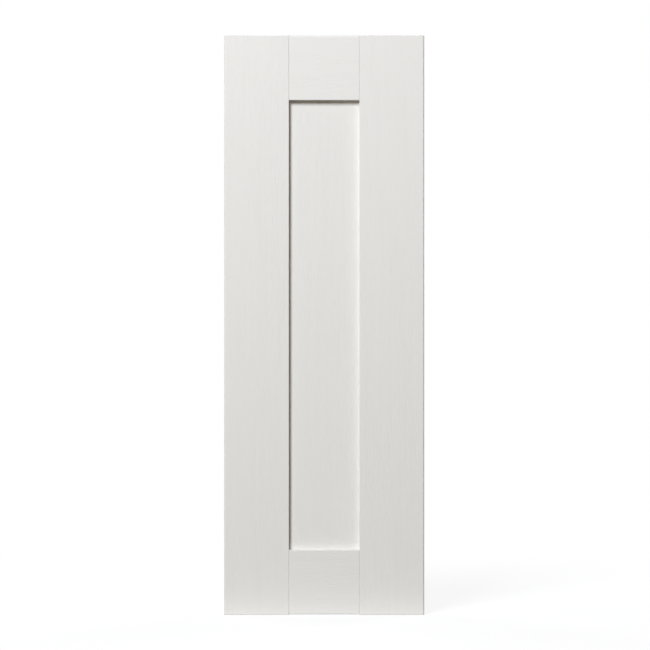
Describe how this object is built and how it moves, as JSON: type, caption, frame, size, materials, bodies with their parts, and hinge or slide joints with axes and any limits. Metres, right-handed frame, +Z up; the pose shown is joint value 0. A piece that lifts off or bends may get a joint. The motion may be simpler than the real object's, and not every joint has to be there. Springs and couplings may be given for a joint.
{
  "type": "kitchen cabinet door",
  "caption": "Narrow five-piece frame-and-panel kitchen cabinet door with a flat recessed panel, off-white, bored on the back for cup hinges.",
  "frame": {"origin": "middle of the door's lower end, halfway through its thickness", "axes": "+X to the right as seen from the front, -Y out of the front face, +Z up along the door's height"},
  "size_m": [0.247, 0.022, 0.715],
  "materials": {
    "frame_foil": "fibreboard bars wrapped in satin off-white foil with a fine embossed woodgrain",
    "panel_foil": "fibreboard panel faced in the same satin off-white foil, grain upright",
    "end_edging": "satin off-white edging strip, glued on and trimmed with a small radius",
    "dowel_beech": "plain beech, fluted and chamfered"
  },
  "bodies": {
    "root": {"left_stile": "frame_foil", "right_stile": "frame_foil", "top_rail": "frame_foil", "bottom_rail": "frame_foil", "centre_panel": "panel_foil", "joint_dowels": "dowel_beech", "left_stile_top_edging": "end_edging", "left_stile_bottom_edging": "end_edging", "right_stile_top_edging": "end_edging", "right_stile_bottom_edging": "end_edging"}
  },
  "joints": []
}
